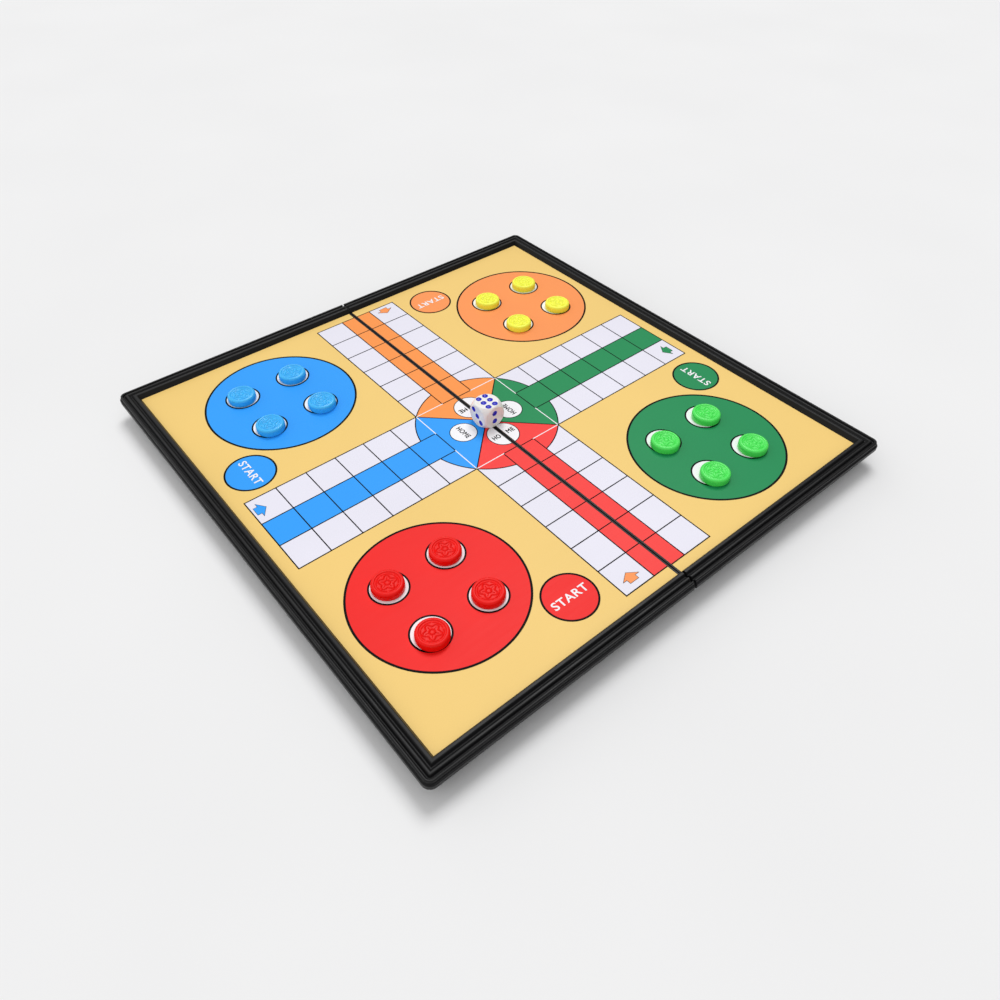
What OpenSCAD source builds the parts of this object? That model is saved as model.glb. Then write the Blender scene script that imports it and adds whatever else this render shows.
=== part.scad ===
// Folding ludo board box: two shallow trays joined by barrel hinges, upside down so
// that their closed faces carry the printed play surface, with sixteen flat magnetic
// pawns and one die. Millimetres, +Z up, fold line along Y, board shown open and flat.
// The trays' open sides face down; folded, they face each other and make the box.

/* [View] */
// piece to show, or "all"

/* [Board] */
// outer size of the open board across the fold
board_x = 247.4; // [244:0.2:250]
// outer size of the open board along the fold
board_y = 248.8; // [246:0.2:252]
// height of the play surface above the ground
surface_height = 10; // [9.5:0.1:11]
// height of the raised frame above the play surface
lip_height = 2.3; // [2.2:0.1:2.8]
// how far the frame stands out past the tray wall below it
overhang = 3.4; // [2.6:0.2:4]
// radius of the outer corners
corner_radius = 3.5; // [2:0.5:4]

/* [Hinges] */
// distance of each barrel hinge from the middle of the fold
hinge_offset = 70; // [40:5:90]
// outer radius of the barrel
barrel_radius = 2; // [1.8:0.1:2]
// radius of the hinge pin
pin_radius = 0.75; // [0.6:0.05:0.8]

/* [Pawns and die] */
// diameter of a pawn
pawn_diameter = 13; // [12:0.5:13.5]
// height of a pawn
pawn_height = 3.5; // [3.3:0.1:4]
// edge length of the die
die_size = 11.4; // [10:0.2:12]
// rounding of the die, as a share of its edge length
die_round = 0.68; // [0.66:0.01:0.74]

/* [Hidden] */
$fn = 64;
frame_width = 8.2;
half_x = board_x / 2;
half_y = board_y / 2;
inner_x = half_x - frame_width;     // half size of the opening in the frame
inner_y = half_y - frame_width;
wall_x = half_x - overhang;         // outer face of the tray walls
wall_y = half_y - overhang;
fold_gap = 0.25;                    // each tray stays this far from the fold plane
frame_gap = 0.55;                   // the frame ends stay a little further back
axis_z = 2;                         // fold axis above the ground
rim_z = 2.1;                        // bottom of the tray walls
wall = 2;                           // tray wall thickness
sheet_t = 0.3;                      // printed sheet
steel_t = 0.4;                      // steel sheet under it
plate_t = 1.2;                      // plastic plate under the steel
sheet_z = surface_height - sheet_t;
steel_z = sheet_z - steel_t;
plate_z = steel_z - plate_t;
fold_lip = 1;                       // black strip each tray shows along the fold
top = surface_height + lip_height;
knuckle_gap = 0.3;
foot_len = 10;
mag_x = wall_x - 7.6;
mag_y = wall_y - 10.6;

// pawn centres, read off the picture
blue_at = [[-78.4, 58.4], [-78.6, 86.0], [-51.9, 58.0], [-51.8, 86.0]];
red_at = [[-89.1, -79.8], [-88.9, -51.4], [-62.4, -78.3], [-62.5, -51.8]];
green_at = [[51.5, -90.4], [50.3, -63.3], [78.5, -89.3], [78.8, -62.5]];
yellow_at = [[61.6, 49.3], [62.5, 76.4], [89.2, 49.7], [89.1, 77.2]];
die_at = [0.2, -0.1];

// ---- frame -----------------------------------------------------------------
// section of the frame: u runs outward from the opening, v is height. A sloped inner
// face, three rounded beads with grooves between them, then a low ledge and the edge.
function arc(cu, cv, r, a0, a1, n) =
  [for (i = [0:n]) [cu + r * cos(a0 + (a1 - a0) * i / n), cv + r * sin(a0 + (a1 - a0) * i / n)]];
module frame_section() {
  w = frame_width;
  p = surface_height;
  t = top;
  polygon(concat(
    [[0, plate_z], [0, p + 0.05]],
    arc(1.45, t - 0.5, 0.5, 155, 90, 5),
    arc(2.15, t - 0.5, 0.5, 90, 10, 6),
    arc(3.3, t - 0.75, 0.38, 200, 340, 6),
    arc(4.5, t - 0.65, 0.5, 160, 90, 5),
    arc(4.85, t - 0.65, 0.5, 90, 15, 5),
    arc(5.88, t - 0.95, 0.34, 200, 340, 6),
    arc(6.85, t - 0.75, 0.5, 160, 90, 5),
    arc(7.0, t - 0.75, 0.5, 90, 5, 6),
    arc(7.78, t - 1.65, 0.26, 185, 265, 4),
    arc(w - 0.35, t - 2.27, 0.35, 90, 0, 5),
    [[w, plate_z + 0.2], [w - 0.2, plate_z]]));
}

// frame side running along Y; the sides meet in mitres
module side_x() {
  d = inner_x - inner_y;
  intersection() {
    translate([inner_x, half_y + 5, 0]) rotate([90, 0, 0])
      linear_extrude(2 * half_y + 10) frame_section();
    translate([0, 0, -1]) linear_extrude(top + 2)
      polygon([[d, 0], [d + half_y + 9, -half_y - 9], [d + half_y + 9, half_y + 9]]);
  }
}

// frame side along X at +Y, cut off at the fold
module side_y() {
  d = inner_x - inner_y;
  intersection() {
    translate([frame_gap, inner_y, 0]) rotate([90, 0, 90])
      linear_extrude(half_x + 5) frame_section();
    translate([0, 0, -1]) linear_extrude(top + 2)
      polygon([[-1, -1 - d], [half_y + 9 + d, half_y + 9], [-1, half_y + 9]]);
  }
}

// square block at the outer corner (+X, +Y) in which the moulding turns round
module corner_block() {
  translate([half_x - corner_radius, half_y - corner_radius, plate_z - 1])
    cube([corner_radius + 2, corner_radius + 2, top - plate_z + 3]);
}

// outer bands of the frame, turned round the corner
module corner_turn() {
  intersection() {
    translate([half_x - corner_radius, half_y - corner_radius, 0]) rotate_extrude()
      intersection() {
        translate([corner_radius - frame_width, 0]) frame_section();
        square([corner_radius + 1, top + 1]);
      }
    corner_block();
  }
}

// plan of one tray's outer wall, with two rounded corners
module half_plan(hx, hy, r) {
  translate([fold_gap, -hy]) square([hx - fold_gap - r, 2 * hy]);
  translate([fold_gap, -hy + r]) square([hx - fold_gap, 2 * hy - 2 * r]);
  for (s = [-1, 1]) translate([hx - r, s * (hy - r)]) circle(r);
}

module bar_y(r, y0, y1) {
  translate([0, y0, axis_z]) rotate([-90, 0, 0]) cylinder(r = r, h = y1 - y0);
}

// Tray drawn for +X. feet_y: where its two feet stand. own: knuckle spans on this
// tray, other: knuckle spans of the other tray, both measured from the hinge middle.
module tray(feet_y, own, other) {
  difference() {
    union() {
      difference() {
        union() {
          side_x();
          side_y();
          mirror([0, 1, 0]) side_y();
        }
        corner_block();
        mirror([0, 1, 0]) corner_block();
      }
      corner_turn();
      mirror([0, 1, 0]) corner_turn();
      // plate that carries the steel sheet
      translate([fold_gap, -inner_y - 0.5, plate_z])
        cube([inner_x + 0.5 - fold_gap, 2 * inner_y + 1, plate_t]);
      // tray walls, set back under the frame
      translate([0, 0, rim_z]) linear_extrude(plate_z + 0.2 - rim_z) difference() {
        half_plan(wall_x, wall_y, 2);
        translate([fold_gap + wall, -wall_y + wall])
          square([wall_x - 2 * wall - fold_gap, 2 * wall_y - 2 * wall]);
      }
      // narrow strip beside the printed sheet along the fold
      translate([fold_gap, -inner_y - 0.2, steel_z - 0.1])
        cube([fold_lip - fold_gap, 2 * inner_y + 0.4, surface_height - steel_z + 0.1]);
      // feet, which also steer the halves together when the box shuts
      for (s = [-1, 1]) {
        translate([wall_x - wall - 2, s * feet_y - foot_len / 2, 0])
          cube([1.6, foot_len, plate_z + 0.1]);
        translate([wall_x - wall - 0.5, s * feet_y - foot_len / 2, rim_z + 1])
          cube([0.6, foot_len, plate_z - rim_z - 0.9]);
      }
      // bosses for the closing magnets
      for (s = [-1, 1]) translate([mag_x, s * mag_y, rim_z])
        cylinder(r = 4.5, h = plate_z - rim_z + 0.1);
    }
    // room for the other tray's knuckles
    for (c = [-hinge_offset, hinge_offset]) for (k = other)
      bar_y(barrel_radius + 0.35, c + k[0] - knuckle_gap, c + k[1] + knuckle_gap);
    // room for the pin
    for (c = [-hinge_offset, hinge_offset])
      bar_y(pin_radius + 0.05, c - 13.3, c + 13.3);
    for (s = [-1, 1]) translate([mag_x, s * mag_y, rim_z - 1])
      cylinder(r = 3.05, h = 3.1);
  }
  // hinge knuckles
  for (c = [-hinge_offset, hinge_offset]) for (k = own)
    difference() {
      bar_y(barrel_radius, c + k[0], c + k[1]);
      bar_y(pin_radius + 0.05, c + k[0] - 1, c + k[1] + 1);
    }
}

outer_knuckles = [[-13, -4.4], [4.4, 13]];
middle_knuckle = [[-4.1, 4.1]];

module left_tray() {
  color([0.09, 0.09, 0.09]) mirror([1, 0, 0])
    tray(half_y - 24.4, outer_knuckles, middle_knuckle);
}
module right_tray() {
  color([0.09, 0.09, 0.09]) tray(half_y - 40.4, middle_knuckle, outer_knuckles);
}

module sheet(z, t, c) {
  translate([fold_lip + c, -inner_y + c, z])
    cube([inner_x - fold_lip - 2 * c, 2 * inner_y - 2 * c, t]);
}
module left_steel_sheet() {
  color([0.6, 0.6, 0.62]) mirror([1, 0, 0]) sheet(steel_z, steel_t, 0.3);
}
module right_steel_sheet() {
  color([0.6, 0.6, 0.62]) sheet(steel_z, steel_t, 0.3);
}
module left_print_sheet() {
  color([0.95, 0.81, 0.48]) mirror([1, 0, 0]) sheet(sheet_z, sheet_t, 0.05);
}
module right_print_sheet() {
  color([0.95, 0.81, 0.48]) sheet(sheet_z, sheet_t, 0.05);
}

module hinge_pin_near() {
  color([0.7, 0.7, 0.7]) bar_y(pin_radius, -hinge_offset - 12.8, -hinge_offset + 12.8);
}
module hinge_pin_far() {
  color([0.7, 0.7, 0.7]) bar_y(pin_radius, hinge_offset - 12.8, hinge_offset + 12.8);
}

module closure_magnet(x, y) {
  color([0.75, 0.75, 0.76]) translate([x, y, rim_z + 0.1]) cylinder(r = 3, h = 2);
}
module left_closure_magnet_near() { closure_magnet(-mag_x, -mag_y); }
module left_closure_magnet_far() { closure_magnet(-mag_x, mag_y); }
module right_closure_magnet_near() { closure_magnet(mag_x, -mag_y); }
module right_closure_magnet_far() { closure_magnet(mag_x, mag_y); }

// ---- die -------------------------------------------------------------------
pip = die_size * 0.31;
// dimples of one face, drawn on the top face
module pips(places) {
  for (p = places) translate([p[0] * pip, p[1] * pip, die_size / 2 + 0.95])
    sphere(r = 1.4, $fn = 32);
}
module die() {
  one = [[0, 0]];
  two = [[0, -0.6], [0, 0.6]];
  three = [[-0.8, -0.8], [0, 0], [0.8, 0.8]];
  four = [[-0.7, -0.7], [0.7, 0.7], [-0.7, 0.7], [0.7, -0.7]];
  five = [[-0.8, -0.8], [0.8, 0.8], [-0.8, 0.8], [0.8, -0.8], [0, 0]];
  six = [[-0.5, -1], [-0.5, 0], [-0.5, 1], [0.5, -1], [0.5, 0], [0.5, 1]];
  color([0.95, 0.94, 0.9])
    translate([die_at[0], die_at[1], surface_height + die_size / 2]) difference() {
      intersection() {
        cube(die_size, center = true);
        sphere(r = die_round * die_size);
      }
      pips(six);
      rotate([180, 0, 0]) pips(one);
      rotate([0, 90, 0]) pips(four);
      rotate([0, -90, 0]) pips(three);
      rotate([90, 0, 0]) pips(two);
      rotate([-90, 0, 0]) pips(five);
    }
}

// ---- pawns -----------------------------------------------------------------
mag_r = 4;
mag_h = 1.2;
// flat cap with a rounded shoulder, a raised rim on top and a low centre stud
module pawn_cap(at) {
  r = pawn_diameter / 2;
  h = pawn_height;
  translate([at[0], at[1], surface_height]) {
    rotate_extrude()
      polygon([[mag_r + 0.1, 0], [r - 0.2, 0], [r, 0.25], [r, h - 1.1], [r - 0.12, h - 0.7],
        [r - 0.4, h - 0.32], [r - 0.8, h - 0.08], [r - 1.2, h], [r - 1.7, h - 0.08],
        [r - 2.0, h - 0.4], [0, h - 0.4], [0, mag_h + 0.1], [mag_r + 0.1, mag_h + 0.1]]);
    // five-petalled relief
    for (i = [0:4]) rotate([0, 0, 72 * i + 90]) translate([2.3, 0, h - 0.6])
      cylinder(r1 = 1.15, r2 = 0.85, h = 0.5, $fn = 24);
    translate([0, 0, h - 0.6]) cylinder(r1 = 1.35, r2 = 1.05, h = 0.55, $fn = 24);
  }
}
module pawn_magnet(at) {
  color([0.3, 0.3, 0.31]) translate([at[0], at[1], surface_height + 0.05])
    cylinder(r = mag_r, h = mag_h);
}
module blue_cap(i) { color([0.15, 0.6, 0.93]) pawn_cap(blue_at[i]); }
module red_cap(i) { color([0.9, 0.14, 0.1]) pawn_cap(red_at[i]); }
module green_cap(i) { color([0.27, 0.9, 0.36]) pawn_cap(green_at[i]); }
module yellow_cap(i) { color([1, 0.95, 0.15]) pawn_cap(yellow_at[i]); }

left_tray();
right_tray();
left_steel_sheet();
right_steel_sheet();
left_print_sheet();
right_print_sheet();
hinge_pin_near();
hinge_pin_far();
left_closure_magnet_near();
left_closure_magnet_far();
right_closure_magnet_near();
right_closure_magnet_far();
die();
blue_cap(0);  // blue_pawn_1_cap
blue_cap(1);  // blue_pawn_2_cap
blue_cap(2);  // blue_pawn_3_cap
blue_cap(3);  // blue_pawn_4_cap
red_cap(0);  // red_pawn_1_cap
red_cap(1);  // red_pawn_2_cap
red_cap(2);  // red_pawn_3_cap
red_cap(3);  // red_pawn_4_cap
green_cap(0);  // green_pawn_1_cap
green_cap(1);  // green_pawn_2_cap
green_cap(2);  // green_pawn_3_cap
green_cap(3);  // green_pawn_4_cap
yellow_cap(0);  // yellow_pawn_1_cap
yellow_cap(1);  // yellow_pawn_2_cap
yellow_cap(2);  // yellow_pawn_3_cap
yellow_cap(3);  // yellow_pawn_4_cap
pawn_magnet(blue_at[0]);  // blue_pawn_1_magnet
pawn_magnet(blue_at[1]);  // blue_pawn_2_magnet
pawn_magnet(blue_at[2]);  // blue_pawn_3_magnet
pawn_magnet(blue_at[3]);  // blue_pawn_4_magnet
pawn_magnet(red_at[0]);  // red_pawn_1_magnet
pawn_magnet(red_at[1]);  // red_pawn_2_magnet
pawn_magnet(red_at[2]);  // red_pawn_3_magnet
pawn_magnet(red_at[3]);  // red_pawn_4_magnet
pawn_magnet(green_at[0]);  // green_pawn_1_magnet
pawn_magnet(green_at[1]);  // green_pawn_2_magnet
pawn_magnet(green_at[2]);  // green_pawn_3_magnet
pawn_magnet(green_at[3]);  // green_pawn_4_magnet
pawn_magnet(yellow_at[0]);  // yellow_pawn_1_magnet
pawn_magnet(yellow_at[1]);  // yellow_pawn_2_magnet
pawn_magnet(yellow_at[2]);  // yellow_pawn_3_magnet
pawn_magnet(yellow_at[3]);  // yellow_pawn_4_magnet
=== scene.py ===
import bpy
import math
from mathutils import Matrix, Vector


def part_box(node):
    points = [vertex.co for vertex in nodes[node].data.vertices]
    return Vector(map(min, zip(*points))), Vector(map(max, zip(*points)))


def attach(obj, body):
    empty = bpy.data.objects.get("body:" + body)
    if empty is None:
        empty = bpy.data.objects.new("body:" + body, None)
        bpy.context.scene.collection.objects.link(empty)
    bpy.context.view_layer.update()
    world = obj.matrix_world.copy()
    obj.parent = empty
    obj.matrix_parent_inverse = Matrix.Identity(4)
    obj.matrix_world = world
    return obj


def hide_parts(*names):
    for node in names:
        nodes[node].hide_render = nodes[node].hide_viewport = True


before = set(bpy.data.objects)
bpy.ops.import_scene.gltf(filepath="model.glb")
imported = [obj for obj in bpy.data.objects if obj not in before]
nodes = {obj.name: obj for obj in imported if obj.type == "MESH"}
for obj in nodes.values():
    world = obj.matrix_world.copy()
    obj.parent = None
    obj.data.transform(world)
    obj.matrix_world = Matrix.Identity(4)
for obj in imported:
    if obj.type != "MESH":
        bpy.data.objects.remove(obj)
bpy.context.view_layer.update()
MM = 0.001
TOP = 10.0            # height of the play surface above the ground, mm
FOLD = 1.0            # half width of the black strip along the fold, mm
scene = bpy.context.scene


def lin(c):
    """sRGB 0-255 to linear."""
    out = []
    for v in c:
        v = v / 255.0
        out.append(v / 12.92 if v <= 0.04045 else ((v + 0.055) / 1.055) ** 2.4)
    return out


# ---------------------------------------------------------------- materials
class Mat:
    def __init__(self, name):
        self.m = bpy.data.materials.new(name)
        self.m.use_nodes = True
        self.t = self.m.node_tree
        self.b = self.t.nodes["Principled BSDF"]
        self.tc = self.t.nodes.new("ShaderNodeTexCoord")

    def n(self, kind, **kw):
        x = self.t.nodes.new(kind)
        for k, v in kw.items():
            setattr(x, k, v)
        return x

    def l(self, a, b):
        self.t.links.new(a, b)

    def noise(self, scale, detail=3.0, rough=0.5, stretch=None):
        x = self.n("ShaderNodeTexNoise")
        x.inputs["Scale"].default_value = scale
        x.inputs["Detail"].default_value = detail
        x.inputs["Roughness"].default_value = rough
        src = self.tc.outputs["Object"]
        if stretch:
            mp = self.n("ShaderNodeMapping")
            mp.inputs["Scale"].default_value = stretch
            self.l(src, mp.inputs["Vector"])
            src = mp.outputs["Vector"]
        self.l(src, x.inputs["Vector"])
        return x.outputs["Fac"]

    def ramp(self, fac, a, b, lo=0.3, hi=0.7):
        r = self.n("ShaderNodeValToRGB")
        r.color_ramp.elements[0].position = lo
        r.color_ramp.elements[0].color = (*a, 1)
        r.color_ramp.elements[1].position = hi
        r.color_ramp.elements[1].color = (*b, 1)
        self.l(fac, r.inputs["Fac"])
        return r.outputs["Color"]

    def remap(self, fac, lo, hi, a=0.3, b=0.7):
        r = self.n("ShaderNodeMapRange")
        r.inputs["From Min"].default_value = a
        r.inputs["From Max"].default_value = b
        r.inputs["To Min"].default_value = lo
        r.inputs["To Max"].default_value = hi
        self.l(fac, r.inputs["Value"])
        return r.outputs["Result"]

    def math(self, op, a, b):
        x = self.n("ShaderNodeMath", operation=op)
        for i, v in enumerate((a, b)):
            if isinstance(v, (int, float)):
                x.inputs[i].default_value = v
            else:
                self.l(v, x.inputs[i])
        return x.outputs[0]

    def bump(self, height, strength, dist):
        x = self.n("ShaderNodeBump")
        x.inputs["Strength"].default_value = strength
        x.inputs["Distance"].default_value = dist
        self.l(height, x.inputs["Height"])
        self.l(x.outputs["Normal"], self.b.inputs["Normal"])

    def set(self, **kw):
        for k, v in kw.items():
            self.b.inputs[k.replace("_", " ")].default_value = v


def shade(c, k):
    return [min(1.0, v * k) for v in c]


def ink(name, rgb, rough=0.42, spec=0.15):
    """Printed ink under a satin film: faint mottling, film waviness and fine rub marks."""
    c = lin(rgb)
    m = Mat(name)
    grain = m.noise(2600, 2)
    cloud = m.noise(22, 3)
    mix = m.math("ADD", m.math("MULTIPLY", grain, 0.5), m.math("MULTIPLY", cloud, 0.5))
    m.l(m.ramp(mix, shade(c, 0.965), shade(c, 1.03)), m.b.inputs["Base Color"])
    rub = m.noise(60, 4, 0.6, (1.0, 14.0, 1.0))
    m.l(m.remap(rub, rough - 0.015, rough + 0.025), m.b.inputs["Roughness"])
    m.bump(m.math("ADD", m.noise(420, 2), m.math("MULTIPLY", grain, 0.25)), 0.05, 0.00006)
    m.set(Specular_IOR_Level=spec)
    return m.m


def moulded(name, rgb, rough=0.33, var=0.06, peel=0.08, coat=0.0, sss=0.0, spec=0.3):
    """Injection moulded plastic: slight flow mottling, orange peel and uneven gloss."""
    c = lin(rgb)
    m = Mat(name)
    flow = m.noise(140, 4, 0.55)
    fine = m.noise(1900, 2)
    mix = m.math("ADD", m.math("MULTIPLY", flow, 0.7), m.math("MULTIPLY", fine, 0.3))
    m.l(m.ramp(mix, shade(c, 1 - var), shade(c, 1 + var)), m.b.inputs["Base Color"])
    m.l(m.remap(m.noise(260, 3), rough - 0.05, rough + 0.08), m.b.inputs["Roughness"])
    m.bump(m.math("ADD", m.noise(1100, 2), m.math("MULTIPLY", flow, 0.6)), peel, 0.00008)
    m.set(Coat_Weight=coat, Coat_Roughness=0.18, Specular_IOR_Level=spec)
    if sss:
        m.set(Subsurface_Weight=sss, Subsurface_Radius=(0.0012, 0.0010, 0.0008), Subsurface_Scale=1.0)
    return m.m


def black_plastic(name):
    """Black moulded polystyrene: fine spark texture, faint haze and draw marks."""
    m = Mat(name)
    a, b = lin((15, 15, 16)), lin((25, 25, 26))
    haze = m.noise(34, 4, 0.6)
    fine = m.noise(3200, 2)
    mix = m.math("ADD", m.math("MULTIPLY", haze, 0.65), m.math("MULTIPLY", fine, 0.35))
    m.l(m.ramp(mix, a, b), m.b.inputs["Base Color"])
    m.l(m.remap(m.noise(90, 4, 0.6, (1.0, 1.0, 4.0)), 0.36, 0.48), m.b.inputs["Roughness"])
    m.bump(m.math("ADD", m.noise(1500, 2), m.math("MULTIPLY", fine, 0.5)), 0.08, 0.00006)
    m.set(Specular_IOR_Level=0.21)
    return m.m


def metal(name, rgb, rough, stretch=(1, 1, 1), scale=500):
    c = lin(rgb)
    m = Mat(name)
    s = m.noise(scale, 4, 0.6, stretch)
    m.l(m.ramp(s, shade(c, 0.85), shade(c, 1.08)), m.b.inputs["Base Color"])
    m.l(m.remap(m.noise(scale * 1.7, 3, 0.5, stretch), rough - 0.08, rough + 0.1), m.b.inputs["Roughness"])
    m.bump(s, 0.08, 0.00004)
    m.set(Metallic=1.0)
    return m.m


def galvanised(name):
    m = Mat(name)
    v = m.n("ShaderNodeTexVoronoi")
    v.inputs["Scale"].default_value = 210
    m.l(m.tc.outputs["Object"], v.inputs["Vector"])
    sep = m.n("ShaderNodeSeparateColor")
    m.l(v.outputs["Color"], sep.inputs["Color"])
    m.l(m.ramp(sep.outputs[0], lin((150, 152, 155)), lin((196, 198, 201)), 0, 1), m.b.inputs["Base Color"])
    m.l(m.remap(sep.outputs[1], 0.28, 0.5, 0, 1), m.b.inputs["Roughness"])
    m.bump(m.noise(900, 3), 0.06, 0.00005)
    m.set(Metallic=1.0)
    return m.m


INK = {
    "yellow": ink("ink_background", (243, 206, 123)),
    "white": ink("ink_cell", (233, 231, 243)),
    "bright": ink("ink_white", (246, 245, 248)),
    "blue": ink("ink_blue", (46, 160, 253)),
    "red": ink("ink_red", (243, 30, 27)),
    "lane_red": ink("ink_lane_red", (248, 65, 62)),
    "green": ink("ink_green", (30, 141, 85)),
    "orange": ink("ink_orange", (253, 154, 89)),
    "lane": ink("ink_lane_orange", (252, 153, 77)),
    "black": ink("ink_black", (14, 13, 14), 0.5, 0.05),
}
M_TRAY = black_plastic("tray_black_plastic")
M_STEEL = galvanised("galvanised_sheet")
M_PIN = metal("pin_wire", (168, 168, 170), 0.28, (1, 12, 1))
M_NICKEL = metal("nickel_plate", (186, 184, 180), 0.22)
M_FERRITE = metal("sintered_magnet", (72, 72, 76), 0.5, (1, 1, 1), 1400)
M_DIE = moulded("die_ivory_plastic", (243, 241, 238), 0.22, 0.012, 0.04, 0.35, 0.12)
M_PIP = moulded("die_blue_paint", (14, 16, 190), 0.3, 0.1, 0.05, 0.2)
M_PAWN = {
    "blue": moulded("pawn_blue_plastic", (58, 184, 252), 0.27, 0.05, 0.07, 0.0, 0.01, 0.42),
    "red": moulded("pawn_red_plastic", (238, 16, 9), 0.4, 0.05, 0.07, 0.0, 0.05, 0.2),
    "green": moulded("pawn_green_plastic", (80, 232, 94), 0.27, 0.05, 0.07, 0.0, 0.01, 0.4),
    "yellow": moulded("pawn_yellow_plastic", (250, 252, 78), 0.34, 0.04, 0.07, 0.0, 0.08),
}


def paint(node, material):
    o = nodes[node]
    o.data.materials.clear()
    o.data.materials.append(material)


for side in ("left", "right"):
    paint(side + "_tray", M_TRAY)
    paint(side + "_steel_sheet", M_STEEL)
    paint(side + "_print_sheet", INK["yellow"])
    for end in ("near", "far"):
        paint(f"{side}_closure_magnet_{end}", M_NICKEL)
for end in ("near", "far"):
    paint("hinge_pin_" + end, M_PIN)
for colour in M_PAWN:
    for i in range(1, 5):
        paint(f"{colour}_pawn_{i}_cap", M_PAWN[colour])
        paint(f"{colour}_pawn_{i}_magnet", M_FERRITE)
paint("die", M_DIE)


def smooth(o, angle=32):
    """Smooth shading with edges sharper than the angle kept crisp."""
    me = o.data
    for p in me.polygons:
        p.use_smooth = True
    me.set_sharp_from_angle(angle=math.radians(angle))


for n in ("left_tray", "right_tray", "hinge_pin_near", "hinge_pin_far"):
    smooth(nodes[n], 34)


# ---------------------------------------------------------------- printed surface
class Print:
    """Ink areas, gathered per half and per ink, each cut off at the fold strip."""

    def __init__(self):
        self.store = {}

    def add(self, pts, colour, layer, halves=(-1, 1)):
        for s in halves:
            q = self.clip(pts, s)
            if len(q) < 3:
                continue
            area = sum(q[i - 1][0] * q[i][1] - q[i][0] * q[i - 1][1] for i in range(len(q)))
            if abs(area) < 1e-4:
                continue
            if area < 0:
                q = q[::-1]
            d = self.store.setdefault((s, colour, layer), {"v": {}, "f": []})
            face = []
            for x, y in q:
                k = (round(x, 4), round(y, 4))
                i = d["v"].setdefault(k, len(d["v"]))
                if not face or face[-1] != i:
                    face.append(i)
            if len(face) > 2 and face[0] == face[-1]:
                face.pop()
            if len(face) > 2:
                d["f"].append(face)

    @staticmethod
    def clip(pts, s):
        lim = FOLD + 0.03
        out = []
        for i in range(len(pts)):
            a, b = pts[i - 1], pts[i]
            ina, inb = s * a[0] >= lim, s * b[0] >= lim
            if ina != inb:
                t = (s * lim - a[0]) / (b[0] - a[0])
                out.append((s * lim, a[1] + t * (b[1] - a[1])))
            if inb:
                out.append(b)
        return out

    def rect(self, x0, x1, y0, y1, colour, layer, halves=(-1, 1)):
        self.add([(x0, y0), (x1, y0), (x1, y1), (x0, y1)], colour, layer, halves)

    def line(self, a, b, w, colour="black", layer=3, halves=(-1, 1)):
        dx, dy = b[0] - a[0], b[1] - a[1]
        n = math.hypot(dx, dy)
        ux, uy = dx / n, dy / n
        px, py = -uy * w / 2, ux * w / 2
        ex, ey = ux * w / 2, uy * w / 2
        self.add([(a[0] + px - ex, a[1] + py - ey), (a[0] - px - ex, a[1] - py - ey),
                  (b[0] - px + ex, b[1] - py + ey), (b[0] + px + ex, b[1] + py + ey)],
                 colour, layer, halves)

    def disc(self, c, r, colour, layer, n=144, halves=(-1, 1)):
        self.add([(c[0] + r * math.cos(2 * math.pi * i / n), c[1] + r * math.sin(2 * math.pi * i / n))
                  for i in range(n)], colour, layer, halves)

    def ring(self, c, r, w, colour="black", layer=3, a0=0.0, a1=2 * math.pi, n=144, halves=(-1, 1)):
        for i in range(n):
            t0, t1 = a0 + (a1 - a0) * i / n, a0 + (a1 - a0) * (i + 1) / n
            q = []
            for t, rr in ((t0, r - w / 2), (t0, r + w / 2), (t1, r + w / 2), (t1, r - w / 2)):
                q.append((c[0] + rr * math.cos(t), c[1] + rr * math.sin(t)))
            self.add(q, colour, layer, halves)

    def text(self, body, c, w, h, turn, colour, layer=4, bold=0.012):
        cu = bpy.data.curves.new("letters", "FONT")
        cu.body = body
        cu.size = 1.0
        cu.offset = bold
        cu.space_character = 1.08
        cu.resolution_u = 6
        o = bpy.data.objects.new("letters", cu)
        scene.collection.objects.link(o)
        bpy.context.view_layer.update()
        me = o.evaluated_get(bpy.context.evaluated_depsgraph_get()).to_mesh()
        vs = [v.co.copy() for v in me.vertices]
        fs = [tuple(p.vertices) for p in me.polygons]
        x0, x1 = min(v.x for v in vs), max(v.x for v in vs)
        y0, y1 = min(v.y for v in vs), max(v.y for v in vs)
        ca, sa = math.cos(math.radians(turn)), math.sin(math.radians(turn))
        pts = []
        for v in vs:
            x = ((v.x - x0) / (x1 - x0) - 0.5) * w
            y = ((v.y - y0) / (y1 - y0) - 0.5) * h
            pts.append((c[0] + x * ca - y * sa, c[1] + x * sa + y * ca))
        for f in fs:
            self.add([pts[i] for i in f], colour, layer)
        bpy.data.objects.remove(o)
        bpy.data.curves.remove(cu)

    def build(self):
        for (s, colour, layer), d in sorted(self.store.items()):
            side = "left" if s < 0 else "right"
            z = (TOP + 0.02 * layer) * MM
            me = bpy.data.meshes.new(f"print_{side}_{colour}_{layer}")
            me.from_pydata([(x * MM, y * MM, z) for x, y in d["v"]], [], d["f"])
            me.update()
            o = bpy.data.objects.new(me.name, me)
            scene.collection.objects.link(o)
            me.materials.append(INK[colour])
            mod = o.modifiers.new("ink_thickness", "SOLIDIFY")
            mod.thickness = 0.012 * MM
            mod.offset = -1
            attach(o, side + "_half")


P = Print()
LINE = 0.5
XS = [23.3, 37.75, 52.2, 66.65, 81.1, 95.55, 110.0]
LANE = 8.35
ROWS = {-1: [22.75, 7.7, -7.1, -22.15], 1: [22.4, 7.0, -7.5, -22.9]}
UP = {-1: [37.65, 52.4, 67.0, 81.6, 96.25, 111.1], 1: [37.55, 52.3, 66.9, 81.55, 96.15, 111.0]}
DOWN = {-1: [-36.35, -51.35, -66.2, -81.1, -96.0, -111.0], 1: [-36.65, -51.6, -66.5, -81.4, -96.4, -111.4]}

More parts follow.
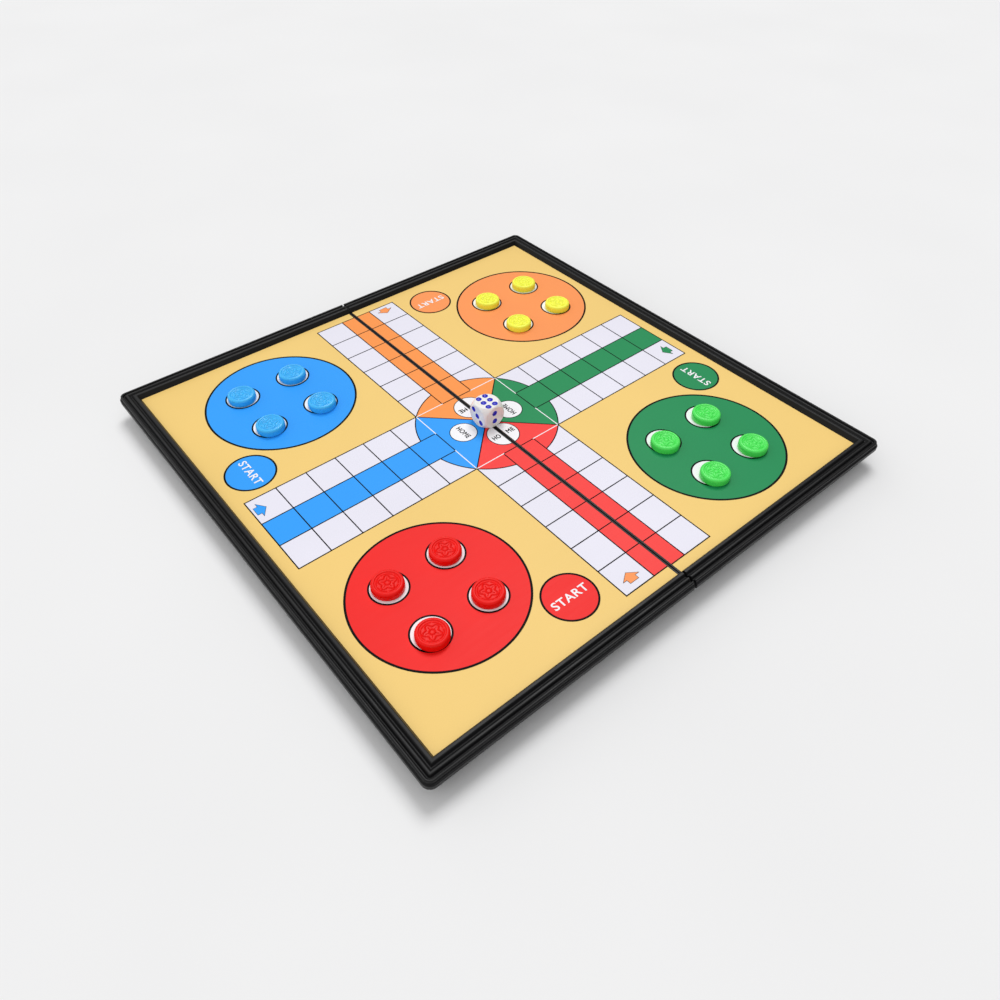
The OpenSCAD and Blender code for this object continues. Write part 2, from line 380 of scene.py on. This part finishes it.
# the two arms across the fold and the two along it
for s in (-1, 1):
    h = (s,)
    r = ROWS[s]
    up, dn = UP[s], DOWN[s]
    lane = "blue" if s < 0 else "green"
    P.rect(s * XS[0], s * XS[-1], r[3], r[0], "white", 1, h)
    P.rect(s * XS[0], s * XS[-1], r[2], r[1], lane, 2, h)
    P.rect(0, s * XS[0], r[0], up[-1], "white", 1, h)
    P.rect(0, s * XS[0], dn[-1], r[3], "white", 1, h)
    for x in XS[1:]:
        P.line((s * x, r[3]), (s * x, r[0]), LINE, halves=h)
    for i, y in enumerate(r):
        P.line((s * XS[0], y), (s * XS[-1], y), LINE, halves=h)
    for y in up + dn:
        P.line((0, y), (s * XS[0], y), LINE, halves=h)
    for x in (XS[0], LANE):
        P.line((s * x, r[0]), (s * x, up[-1]), LINE, halves=h)
        P.line((s * x, r[3]), (s * x, dn[-1]), LINE, halves=h)
    # centre: four sectors of the circle through the corners of the middle square
    c = (0.0, (r[0] + r[3]) / 2)
    hx, hy = XS[0], (r[0] - r[3]) / 2
    R = math.hypot(hx, hy)
    a = math.atan2(hy, hx)
    P.rect(0, s * LANE, r[0] - 0.1, up[-1], "lane", 2.6, h)
    P.rect(0, s * LANE, dn[-1], r[3] + 0.1, "lane_red", 2.6, h)
    arcs = (("green" if s > 0 else "blue"), "lane", "lane_red")
    spans = ((-a, a) if s > 0 else (math.pi - a, math.pi + a), (a, math.pi - a), (math.pi + a, 2 * math.pi - a))
    for colour, (t0, t1) in zip(arcs, spans):
        n = 60
        P.add([c] + [(c[0] + R * math.cos(t0 + (t1 - t0) * i / n), c[1] + R * math.sin(t0 + (t1 - t0) * i / n))
                     for i in range(n + 1)], colour, 2.3, h)
        P.ring(c, R, LINE, "black", 2.45, t0, t1, 60, h)
    P.line(c, (s * hx, c[1] + hy), LINE, halves=h)
    P.line(c, (s * hx, c[1] - hy), LINE, halves=h)
    # lane stubs stay in front of the circle, with their end on the square
    P.rect(s * XS[0], s * XS[1], r[2], r[1], lane, 2.6, h)
    P.line((s * hx, r[1]), (s * hx, r[2]), LINE, halves=h)
    P.line((0, r[0]), (s * LANE, r[0]), LINE, halves=h)
    P.line((0, r[3]), (s * LANE, r[3]), LINE, halves=h)
    # white sides of the square between its corners and the lanes
    for y0, y1 in ((r[0], r[1]), (r[3], r[2])):
        P.line((s * hx, y0), (s * hx, y1), 0.45, "bright", 3.5, h)
    for y in (r[0], r[3]):
        P.line((s * hx, y), (s * LANE, y), 0.45, "bright", 3.5, h)

# corner bases with four waiting spots each, and the start discs
BASES = {"blue": (-64.9, 73.4), "green": (64.9, -74.5), "red": (-75.5, -64.95), "orange": (75.9, 64.1)}
STARTS = {"blue": (-99.3, 37.9, -90), "green": (99.5, -38.9, 90), "red": (-39.6, -97.8, 0), "orange": (39.6, 97.9, 180)}
for colour, (x, y) in BASES.items():
    P.disc((x, y), 34.7, colour, 1)
    P.ring((x, y), 34.7, 0.9)
    for i in (-1, 1):
        for j in (-1, 1):
            q = (x + 13.25 * i, y + 13.25 * j)
            P.disc(q, 7.7, "bright", 2, 96)
            P.ring(q, 7.75, 0.75, n=96)
for colour, (x, y, turn) in STARTS.items():
    P.disc((x, y), 10.87, colour, 1)
    P.ring((x, y), 10.87, 0.8)
    P.text("START", (x, y), 16.8, 3.8, turn, "bright", 4, 0.017)

def fine_text(body, c, w, h, turn):
    """Small black lettering, laid four times a hair apart so that its strokes gain weight."""
    for k, (dx, dy) in enumerate(((-0.09, 0.0), (0.09, 0.0), (0.0, 0.08), (0.0, -0.08))):
        P.text(body, (c[0] + dx, c[1] + dy), w, h, turn, "black", 4.2 + 0.1 * k, 0.0)


# home discs
for (x, y), turn in (((-13.1, 0.35), -90), ((13.2, -0.1), 90)):
    P.disc((x, y), 6.15, "bright", 3.7, 96)
    P.ring((x, y), 6.2, 0.36, "black", 3.9, n=96)
    fine_text("HOME", (x, y), 8.3, 2.5, turn)
for y, turn, words in ((-11.8, 0, ("HO", "ME")), (12.6, 180, ("ME", "HO"))):
    P.disc((0, y), 7.3, "bright", 3.7, 96)
    P.ring((0, y), 7.35, 0.36, "black", 3.9, n=96)
    fine_text(words[0], (-3.8, y), 3.9, 2.5, turn)
    fine_text(words[1], (4.1, y), 3.9, 2.5, turn)


def arrow(c, turn, colour):
    """Block arrow: a wide head over a short stem."""
    ca, sa = math.cos(math.radians(turn)), math.sin(math.radians(turn))

    def at(x, y):
        return (c[0] + x * ca - y * sa, c[1] + x * sa + y * ca)

    P.add([at(-0.4, -4.2), at(2.6, 0), at(-0.4, 4.2)], colour, 4)
    P.add([at(-2.3, -2.2), at(-0.4, -2.2), at(-0.4, 2.2), at(-2.3, 2.2)], colour, 4)
    edge = [at(-2.3, -2.2), at(-0.4, -2.2), at(-0.4, -4.2), at(2.6, 0), at(-0.4, 4.2), at(-0.4, 2.2), at(-2.3, 2.2)]
    for i in range(len(edge)):
        P.line(edge[i - 1], edge[i], 0.16, "black", 4.3)


arrow((-106.4, 15.4), 0, "blue")
arrow((104.6, -15.2), 180, "green")
arrow((15.6, 106.4), -90, "orange")
arrow((-15.7, -105.6), 90, "orange")
P.build()


# ---------------------------------------------------------------- pawns
def pawn(name, colour, turn):
    lo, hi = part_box(name + "_cap")
    cx, cy = (lo.x + hi.x) / 2 / MM, (lo.y + hi.y) / 2 / MM
    seg = 132
    side = [(0.0, 1.3), (4.1, 1.3), (4.1, 0.05), (4.25, 0.0), (6.1, 0.0), (6.33, 0.06), (6.45, 0.2), (6.49, 0.5),
            (6.49, 2.2), (6.46, 2.5), (6.38, 2.78), (6.24, 3.03), (6.05, 3.22), (5.82, 3.36), (5.56, 3.44)]
    top_r = [5.56 - 0.105 * k for k in range(1, 53)]
    verts, faces = [], []

    def relief(r, t):
        rim = 0.5 * (1 + math.tanh((r - 4.95) / 0.14))
        h = 3.02 + 0.43 * rim
        bumps = 0.0
        petal = 2.95 + 0.62 * math.cos(5 * t)
        bumps = max(bumps, math.exp(-((r - petal) / 0.26) ** 2))
        bumps = max(bumps, 0.9 * math.exp(-((r - 1.05) / 0.24) ** 2))
        inner = abs(math.sin(2.5 * t)) * r
        if 1.3 < r < 2.6:
            bumps = max(bumps, 0.8 * math.exp(-(inner / 0.2) ** 2))
        outer = abs(math.cos(2.5 * t)) * r
        if 3.7 < r < 4.7:
            bumps = max(bumps, 0.85 * math.exp(-((r - 4.15) / 0.2) ** 2) * (1 if outer > 0.9 else 0.25))
        return h + 0.36 * bumps * (1 - rim)

    rings = []
    for r, z in side:
        if r == 0:
            rings.append([len(verts)])
            verts.append((cx * MM, cy * MM, (TOP + z) * MM))
            continue
        ids = []
        for k in range(seg):
            t = 2 * math.pi * k / seg
            ids.append(len(verts))
            verts.append(((cx + r * math.cos(t)) * MM, (cy + r * math.sin(t)) * MM, (TOP + z) * MM))
        rings.append(ids)
    for r in top_r:
        ids = []
        for k in range(seg):
            t = 2 * math.pi * k / seg
            ids.append(len(verts))
            verts.append(((cx + r * math.cos(t)) * MM, (cy + r * math.sin(t)) * MM,
                          (TOP + relief(r, t + turn)) * MM))
        rings.append(ids)
    rings.append([len(verts)])
    verts.append((cx * MM, cy * MM, (TOP + relief(0, 0)) * MM))
    for a, b in zip(rings, rings[1:]):
        for k in range(seg):
            k2 = (k + 1) % seg
            if len(a) == 1:
                faces.append((a[0], b[k2], b[k]))
            elif len(b) == 1:
                faces.append((a[k], a[k2], b[0]))
            else:
                faces.append((a[k], a[k2], b[k2], b[k]))
    me = bpy.data.meshes.new(name + "_moulding")
    me.from_pydata(verts, [], faces)
    me.update()
    o = bpy.data.objects.new(name + "_moulding", me)
    scene.collection.objects.link(o)
    me.materials.append(M_PAWN[colour])
    smooth(o, 50)
    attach(o, name)
    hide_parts(name + "_cap")


TURNS = [0.2, 1.7, 2.9, 4.4, 0.9, 5.2, 3.6, 2.2, 1.2, 4.9, 0.5, 3.1, 5.7, 2.6, 4.0, 1.5]
for i, colour in enumerate(("blue", "red", "green", "yellow")):
    for j in range(4):
        pawn(f"{colour}_pawn_{j + 1}", colour, TURNS[4 * i + j])


# ---------------------------------------------------------------- die
def die():
    lo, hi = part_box("die")
    c = (lo + hi) / 2
    half = (hi.x - lo.x) / 2 / MM
    ball = 1.36 * half
    n = 84
    p = 3.5
    faces6 = {
        (0, 0, 1): ((1, 0, 0), (0, 1, 0), [(-0.52, -1), (-0.52, 0), (-0.52, 1), (0.52, -1), (0.52, 0), (0.52, 1)]),
        (0, 0, -1): ((1, 0, 0), (0, -1, 0), [(0, 0)]),
        (-1, 0, 0): ((0, -1, 0), (0, 0, 1), [(-0.72, 0.72), (0, 0), (0.72, -0.72)]),
        (1, 0, 0): ((0, 1, 0), (0, 0, 1), [(-0.7, -0.7), (0.7, 0.7), (-0.7, 0.7), (0.7, -0.7)]),
        (0, -1, 0): ((1, 0, 0), (0, 0, 1), [(0.0, -0.62), (0.0, 0.62)]),
        (0, 1, 0): ((-1, 0, 0), (0, 0, 1), [(-0.75, -0.75), (0.75, 0.75), (-0.75, 0.75), (0.75, -0.75), (0, 0)]),
    }
    verts, index, quads, blue = [], {}, [], []
    for nrm, (u, v, pips) in faces6.items():
        nrm, u, v = Vector(nrm), Vector(u), Vector(v)
        grid = []
        for i in range(n + 1):
            row = []
            for j in range(n + 1):
                a = math.tan((i / n - 0.5) * math.pi / 2) * half
                b = math.tan((j / n - 0.5) * math.pi / 2) * half
                q = nrm * half + u * a + v * b
                if q.length > ball:
                    q = q * (ball / q.length)
                depth = 0.0
                qa, qb = q.dot(u), q.dot(v)
                for x, y in pips:
                    e = math.hypot(qa - x * p, qb - y * p)
                    if e < 1.42:
                        depth = max(depth, 0.5 * (1 - (e / 1.42) ** 2) ** 0.75)
                q = q - nrm * depth
                key = (round(q.x, 5), round(q.y, 5), round(q.z, 5))
                if key not in index:
                    index[key] = len(verts)
                    verts.append(((q.x) * MM + c.x, (q.y) * MM + c.y, (q.z) * MM + c.z))
                row.append((index[key], qa, qb))
            grid.append(row)
        for i in range(n):
            for j in range(n):
                four = (grid[i][j], grid[i + 1][j], grid[i + 1][j + 1], grid[i][j + 1])
                quads.append(tuple(t[0] for t in four))
                ma, mb = sum(t[1] for t in four) / 4, sum(t[2] for t in four) / 4
                blue.append(any(math.hypot(ma - x * p, mb - y * p) < 1.33 for x, y in pips))
    me = bpy.data.meshes.new("die_body_shape")
    me.from_pydata(verts, [], quads)
    me.materials.append(M_DIE)
    me.materials.append(M_PIP)
    for poly, is_blue in zip(me.polygons, blue):
        poly.material_index = 1 if is_blue else 0
        poly.use_smooth = True
    me.update()
    o = bpy.data.objects.new("die_rounded", me)
    scene.collection.objects.link(o)
    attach(o, "die_body")
    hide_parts("die")


die()

# ---------------------------------------------------------------- floor, light, camera
fm = Mat("studio_floor")
fm.l(fm.ramp(fm.noise(7, 2), (0.845, 0.845, 0.848), (0.865, 0.865, 0.868)), fm.b.inputs["Base Color"])
fm.set(Roughness=0.9, Specular_IOR_Level=0.0)
me = bpy.data.meshes.new("floor")
me.from_pydata([(-4, -4, 0), (4, -4, 0), (4, 4, 0), (-4, 4, 0)], [], [(0, 1, 2, 3)])
floor = bpy.data.objects.new("floor", me)
scene.collection.objects.link(floor)
me.materials.append(fm.m)

world = bpy.data.worlds.new("studio")
scene.world = world
world.use_nodes = True
wt = world.node_tree
bg = wt.nodes["Background"]
bg.inputs["Color"].default_value = (1, 1, 1, 1)


def wnode(kind, **kw):
    x = wt.nodes.new(kind)
    for k, v in kw.items():
        setattr(x, k, v)
    return x


def wrange(value, lo, hi, a, b):
    x = wnode("ShaderNodeMapRange", interpolation_type="SMOOTHSTEP")
    for k, v in (("From Min", lo), ("From Max", hi), ("To Min", a), ("To Max", b)):
        x.inputs[k].default_value = v
    wt.links.new(value, x.inputs["Value"])
    return x.outputs["Result"]


def wmath(op, a, b):
    x = wnode("ShaderNodeMath", operation=op)
    for k, v in enumerate((a, b)):
        if isinstance(v, (int, float)):
            x.inputs[k].default_value = v
        else:
            wt.links.new(v, x.inputs[k])
    return x.outputs[0]


# bright studio with a dark screen low on the +X side
sky = wnode("ShaderNodeTexCoord")
xyz = wnode("ShaderNodeSeparateXYZ")
wt.links.new(sky.outputs["Generated"], xyz.inputs["Vector"])
azimuth = wmath("ARCTAN2", xyz.outputs["Y"], xyz.outputs["X"])
screen = wmath("MULTIPLY", wrange(azimuth, 0.86, 1.15, 1.0, 0.0), wrange(azimuth, -1.5, -1.1, 0.0, 1.0))
low = wrange(xyz.outputs["Z"], 0.7, 0.93, 1.0, 0.0)
level = wmath("SUBTRACT", 0.79, wmath("MULTIPLY", wmath("MULTIPLY", screen, low), 0.62))
wt.links.new(level, bg.inputs["Strength"])


def soft_key(name, towards, spread, strength):
    li = bpy.data.lights.new(name, "SUN")
    li.angle = math.radians(spread)
    li.energy = strength
    o = bpy.data.objects.new(name, li)
    o.rotation_euler = Vector(towards).to_track_quat("Z", "Y").to_euler()
    scene.collection.objects.link(o)
    return o


soft_key("key_softbox", (1.55, 1.36, 3.4), 27.0, 1.43)

cam = bpy.data.cameras.new("camera")
cam.sensor_width = 36.0
cam.lens = 36.0 * 0.7937347954
cam.clip_start = 0.01
co = bpy.data.objects.new("camera", cam)
fw = Vector((0.44475764, 0.5383221, -0.71582118)).normalized()
up = Vector((0.45756624, 0.55048642, 0.69828206))
right = fw.cross(up).normalized()
up = right.cross(fw).normalized()
m = Matrix.Identity(4)
for i in range(3):
    m[i][0], m[i][1], m[i][2] = right[i], up[i], -fw[i]
m.translation = Vector((-0.17352577, -0.21950976, 0.23484243 + TOP * MM))
co.matrix_world = m
scene.collection.objects.link(co)
scene.camera = co
scene.view_settings.view_transform = "Standard"
scene.view_settings.look = "None"
